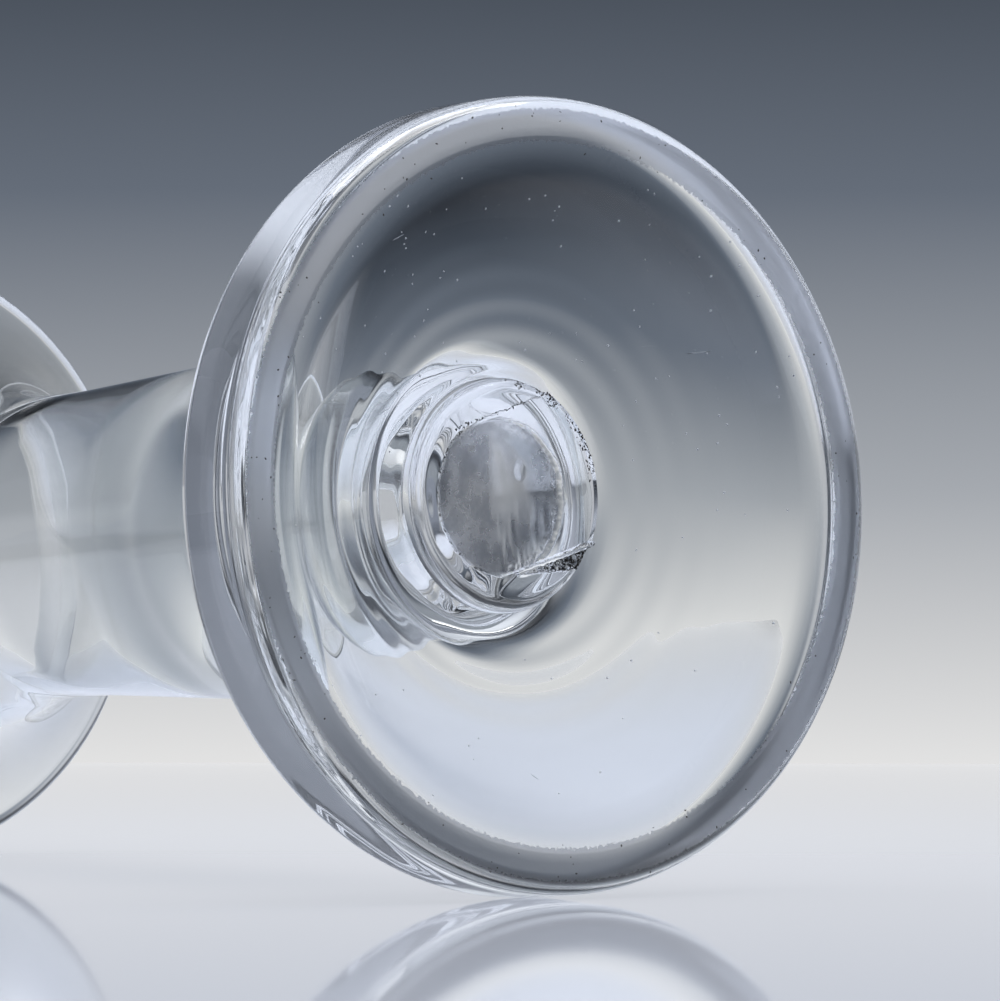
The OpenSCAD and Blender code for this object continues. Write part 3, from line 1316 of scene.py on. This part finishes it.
@dataclass(frozen=True)
class Pool:
    """A soft pool of light on the tent's fabric, by the direction in which the camera would see it."""

    right: float
    up: float
    away: float
    inner: float
    outer: float
    radiance: float
    colour: str


@dataclass
class Studio:
    """A glossy pale table in a light tent, and a strip of paper behind it that falls into shade."""

    view: Viewpoint
    table_tilt: float
    table_drop: float
    paper_away: float = 1043.0
    half_width: float = 700.0
    near: float = 900.0
    paper_height: float = 900.0
    strip: tuple[float, float] = (80.0, 150.0)
    fabric: str = "#BFC1C6"
    fabric_to: tuple[float, float] = (160.0, 90.0)
    room: str = "#454A52"
    # Painted shade on the glowing paper: its tone at each height above the table in millimetres, darker
    # upwards and paler again far above
    shade: tuple[tuple[float, str], ...] = (
        (0.0, "#E2E2E2"),
        (33.0, "#A6AAB0"),
        (70.0, "#656D79"),
        (105.0, "#3C434D"),
        (140.0, "#15181D"),
        (190.0, "#14171C"),
        (260.0, "#565C65"),
        (360.0, "#8A9098"),
    )
    pools: tuple[Pool, ...] = (
        Pool(-0.80, 0.45, 0.40, 20, 70, 0.40, "#EAF0FF"),
        Pool(0.90, 0.35, 0.10, 15, 60, 0.22, "#E2EAFF"),
        Pool(0.10, 0.97, 0.16, 15, 50, 0.65, "#F2F5FA"),
        Pool(0.25, 0.95, 0.10, 4, 20, 0.32, "#FFFFFF"),
    )
    acrylic: str = "#E8ECF7"
    # Painted light: towards the paper the table's bluish tone turns to this one, the tone that the paper
    # glows with near the table, so that they meet without a line
    painted_horizon_tint: str = "#E4E5EA"
    # Painted shade: the table turns to this dark tone in front of the picture and far to both sides, where
    # the light falls off
    painted_falloff_shade: str = "#5A5E66"
    acrylic_rough: float = 0.04
    acrylic_ior: float = 1.2
    # Where the painted shade begins and where it is full, in millimetres across the table and ahead
    table_ends: tuple[tuple[float, float], ...] = ((62.0, 95.0), (-170.0, -240.0))
    table_from: tuple[float, float] = (560.0, 520.0)
    sweep_from: tuple[float, float] = (840.0, 1040.0)
    lamp_seen: tuple[float, float, float] = (0.1, 0.97, 0.16)
    lamp_far: float = 1200.0
    lamp_size: tuple[float, float] = (1040.0, 840.0)
    lamp_radiance: float = 5.55
    lamp_colour: str = "#FFFFFF"
    gathered: float = 0.95
    gathered_at: tuple[float, float, float] = (-15.0, 790.0, 400.0)
    gathered_cone: float = math.radians(38)
    gathered_soft: float = 50.0
    gathered_colour: str = "#DCE8FF"

    @property
    def up(self) -> Vector:
        """The table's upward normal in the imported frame."""
        return Way.UP.value * math.cos(self.table_tilt) - Way.AXIS.value * math.sin(self.table_tilt)

    def axes(self) -> tuple[Vector, Vector]:
        """Directions right and away along the table, as the camera sees them."""
        away = self.view.to_row((0, 0, 1))
        away = (away - self.up * away.dot(self.up)).normalized()
        return away.cross(self.up), away

    def spot(self, right: float, away: float, up: float) -> Vector:
        """A place given from the point of the table under the camera, in millimetres."""
        across, ahead = self.axes()
        below = self.view.place()
        below = below - self.up * (below.dot(self.up) + self.table_drop)
        return below + across * right + ahead * away + self.up * up

    def toward(self, right: float, up: float, away: float) -> Vector:
        """A direction given along the table's axes, as the camera sees them."""
        across, ahead = self.axes()
        return (across * right + self.up * up + ahead * away).normalized()

    def sheet(self, material: bpy.types.Material, name: str, start: tuple[float, float],
              end: tuple[float, float]) -> None:
        """Makes a flat sheet that belongs to the stage.

        Args:
            material: What it is made of.
            name: Its name.
            start: How far away and how high its first edge lies.
            end: The same for the opposite edge.
        """
        half = self.half_width
        corners = [self.spot(-half, *start), self.spot(half, *start)]
        corners += [self.spot(half, *end), self.spot(-half, *end)]
        mesh = bpy.data.meshes.new(name)
        mesh.from_pydata([c * MM for c in corners], [], [(0, 1, 2, 3)])
        mesh.materials.append(material)
        linked(name, mesh)

    def one_sided(self, tree: Tree, shader: Socket) -> None:
        """Ends a stage material so that the sheet isn't there from behind."""
        end_clear(tree, add_node(tree, "ShaderNodeNewGeometry")["Backfacing"], shader)

    def along(self, tree: Tree, way: Vector) -> Socket:
        """Adds nodes that measure a direction from the point of the table under the camera.

        Args:
            tree: The material's tree.
            way: The direction.

        Returns:
            How far the shaded point lies along it, in millimetres.
        """
        place = add_node(tree, "ShaderNodeNewGeometry")["Position"]
        metres = add_node(tree, "ShaderNodeVectorMath", {
            0: place,
            1: way,
        }, operation="DOT_PRODUCT")["Value"]
        return add_node(tree, "ShaderNodeMath", {
            0: metres,
            1: 1 / MM,
            2: -self.spot(0, 0, 0).dot(way),
        }, operation="MULTIPLY_ADD")[0]

    def fading(self, tree: Tree, way: Vector, start: float, end: float) -> Socket:
        """Adds nodes that ease from 0 to 1 between two distances along a direction.

        Args:
            tree: The material's tree.
            way: The direction.
            start: The distance in millimetres at which the result is 0.
            end: The distance at which it is 1.

        Returns:
            The eased share.
        """
        return add_node(tree, "ShaderNodeMapRange", {
            "Value": self.along(tree, way),
            "From Min": start,
            "From Max": end,
        }, interpolation_type="SMOOTHSTEP")["Result"]

    def table(self) -> None:
        """Makes the glossy table, darkened by painted shade in front of the picture and far to both sides
        of it, where the light falls off.
        """
        material, tree = new_material("white_acrylic_glossy")
        across, ahead = self.axes()
        shaded = self.fading(tree, ahead, *self.table_from)
        for end in self.table_ends:
            shaded = add_node(tree, "ShaderNodeMath", {
                0: shaded,
                1: self.fading(tree, across, *end),
            }, operation="MAXIMUM")[0]
        # Painted light: the table takes the paper's tone towards its far end
        pale = add_node(tree, "ShaderNodeMix", {
            0: self.fading(tree, ahead, *self.sweep_from),
            MIX_FIRST: linear(self.acrylic),
            MIX_SECOND: linear(self.painted_horizon_tint),
        }, data_type="RGBA")[MIX_RESULT]
        # Painted shade: the table darkens where the light falls off
        colour = add_node(tree, "ShaderNodeMix", {
            0: shaded,
            MIX_FIRST: pale,
            MIX_SECOND: linear(self.painted_falloff_shade),
        }, data_type="RGBA")[MIX_RESULT]
        acrylic = add_node(tree, "ShaderNodeBsdfPrincipled", {
            "Base Color": colour,
            "Roughness": self.acrylic_rough,
            "IOR": self.acrylic_ior,
        })[0]
        self.one_sided(tree, acrylic)
        self.sheet(material, "table", (self.paper_away - self.near, 0), (self.paper_away, 0))

    def paper(self) -> None:
        """Makes the paper, a glowing sheet darkened with height by painted shade, and pale beside and far
        above the glass.
        """
        material, tree = new_material("paper_glowing_with_painted_shade")
        tallest = self.shade[-1][0]
        share = add_node(tree, "ShaderNodeMath", {
            0: self.along(tree, self.up),
            1: tallest,
        }, operation="DIVIDE")[0]
        shaded = add_node(tree, "ShaderNodeValToRGB", {0: share})["Color"]
        stops = shaded.node.color_ramp.elements
        for height, _ in self.shade[1:-1]:
            stops.new(height / tallest)
        for stop, (height, code) in zip(stops, self.shade):
            stop.position = height / tallest
            stop.color = linear(code)
        across, _ = self.axes()
        inner, outer = self.strip
        beside = add_node(tree, "ShaderNodeMath", {
            0: self.fading(tree, across, inner, outer),
            1: self.fading(tree, across, -inner, -outer),
        }, operation="MAXIMUM")[0]
        pale = add_node(tree, "ShaderNodeMath", {
            0: beside,
            1: self.fading(tree, self.up, *self.fabric_to),
        }, operation="MULTIPLY")[0]
        colour = add_node(tree, "ShaderNodeMix", {
            0: pale,
            MIX_FIRST: shaded,
            MIX_SECOND: linear(self.fabric),
        }, data_type="RGBA")[MIX_RESULT]
        # The paper glows with its painted tones at a strength of 1 instead of being lit
        glow = add_node(tree, "ShaderNodeEmission", {"Color": colour, "Strength": 1.0})[0]
        self.one_sided(tree, glow)
        self.sheet(material, "paper_sweep", (self.paper_away, 0), (self.paper_away, self.paper_height))

    def hang(self, data: bpy.types.Light, place: Vector, back: Vector, mirrored: bool) -> None:
        """Hangs a lamp that the camera doesn't see, neither directly nor through the glass.

        Args:
            data: The lamp.
            place: Where it hangs, in millimetres.
            back: The direction that it turns its back to.
            mirrored: Whether polished faces mirror it.
        """
        lamp = bpy.data.objects.new(data.name, data)
        facing = back.to_track_quat("Z", "Y").to_matrix().to_4x4()
        lamp.matrix_world = Matrix.Translation(place * MM) @ facing
        lamp.visible_camera = False
        lamp.visible_transmission = False
        lamp.visible_glossy = mirrored
        bpy.context.scene.collection.objects.link(lamp)

    def overhead(self) -> None:
        """Hangs the large soft light that faces the foot from above."""
        data = bpy.data.lights.new("overhead_soft_light", "AREA")
        data.shape = "RECTANGLE"
        data.size, data.size_y = [side * MM for side in self.lamp_size]
        data.energy = self.lamp_radiance * math.pi * data.size * data.size_y
        data.color = linear(self.lamp_colour)[:3]
        toward = self.toward(*self.lamp_seen)
        self.hang(data, toward * self.lamp_far, toward, True)

    def gathered_light(self) -> None:
        """Adds the pale blue light that the lying glass gathers on the table behind its foot."""
        data = bpy.data.lights.new("light_gathered_by_glass", "SPOT")
        data.energy = self.gathered
        data.color = linear(self.gathered_colour)[:3]
        data.spot_size = self.gathered_cone
        data.spot_blend = 1.0
        data.shadow_soft_size = self.gathered_soft * MM
        self.hang(data, self.spot(*self.gathered_at), self.up, False)

    def world(self) -> None:
        """Makes the tent: grey fabric with soft pools of light, which the glass mirrors and bends."""
        world = bpy.data.worlds.new("light_tent")
        bpy.context.scene.world = world
        world.use_nodes = True
        tree = world.node_tree
        tree.nodes.clear()
        way = add_node(tree, "ShaderNodeTexCoord")["Generated"]
        light: Any = linear(self.room)[:3]
        for pool in self.pools:
            middle = self.toward(pool.right, pool.up, pool.away)
            near = add_node(tree, "ShaderNodeVectorMath", {
                0: way,
                1: middle,
            }, operation="DOT_PRODUCT")["Value"]
            share = add_node(tree, "ShaderNodeMapRange", {
                "Value": near,
                "From Min": math.cos(math.radians(pool.outer)),
                "From Max": math.cos(math.radians(pool.inner)),
                "To Max": pool.radiance,
            }, interpolation_type="SMOOTHSTEP")["Result"]
            glow = add_node(tree, "ShaderNodeVectorMath", {
                0: linear(pool.colour)[:3],
                "Scale": share,
            }, operation="SCALE")[0]
            light = add_node(tree, "ShaderNodeVectorMath", {0: light, 1: glow}, operation="ADD")[0]
        tent = add_node(tree, "ShaderNodeBackground", {"Color": light, "Strength": 1.0})
        add_node(tree, "ShaderNodeOutputWorld", {"Surface": tent[0]})

    def build(self) -> None:
        """Sets the stage and the light."""
        self.table()
        self.paper()
        self.world()
        self.overhead()
        self.gathered_light()


def lying_tilt(outline: Sequence[Point], bowl: Sequence[Point]) -> tuple[float, float]:
    """Finds the table that touches both the foot and the bowl of the glass as it lies.

    Args:
        outline: Points of the foot's outside.
        bowl: Points of the bowl's outside.

    Returns:
        The table's tilt to the glass's axis, and its distance from the glass's origin.
    """

    def reach(points: Sequence[Point], tilt: float) -> float:
        """How far points reach below the axis, square to the table."""
        return max(p.x * math.cos(tilt) + p.y * math.sin(tilt) for p in points)

    low, high = 0.0, STEEPEST_LIE
    for _ in range(HALVINGS):
        middle = (low + high) / 2
        if reach(outline, middle) > reach(bowl, middle):
            low = middle
        else:
            high = middle
    return middle, reach(outline, middle)


def main() -> None:
    """Builds the glass on its stage."""
    logging.basicConfig(level=logging.INFO, format="%(message)s")
    scene = bpy.context.scene
    scene.view_settings.view_transform = "Standard"
    scene.cycles.use_denoising = True
    scene.cycles.max_bounces = BOUNCES
    scene.cycles.transmission_bounces = BOUNCES
    scene.cycles.glossy_bounces = BOUNCES
    scene.cycles.transparent_max_bounces = BOUNCES
    scene.cycles.caustics_reflective = False
    scene.cycles.caustics_refractive = False

    foot_high, stem_high, bowl_high = [Vector(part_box(node)[1]) / MM for node in ("foot", "stem", "bowl")]
    mark_low, mark_high = [Vector(c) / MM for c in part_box("pontil_mark")]

    outline = Outline(foot_r=foot_high.x, crown_z=foot_high.z)
    shop = Workshop(HandWork(), LeadGlass().build(), FusedSeam().build())
    bowl = Bowl(outline, stem_high.z, bowl_high.z, bowl_high.x)
    mark = PontilMark(mark_high.z, mark_low.z, BrokenGlass().build())
    Foot(outline, mark).build(shop)
    Stem(outline, stem_high.z).build(shop)
    bowl.build(shop)
    mark.build(shop)

    outside, lip, _ = bowl.wall()
    tilt, drop = lying_tilt(outline.between(-1, foot_high.z), outside + lip)
    view = Viewpoint()
    Studio(view, tilt, drop).build()
    view.build()


if __name__ == "__main__":
    main()
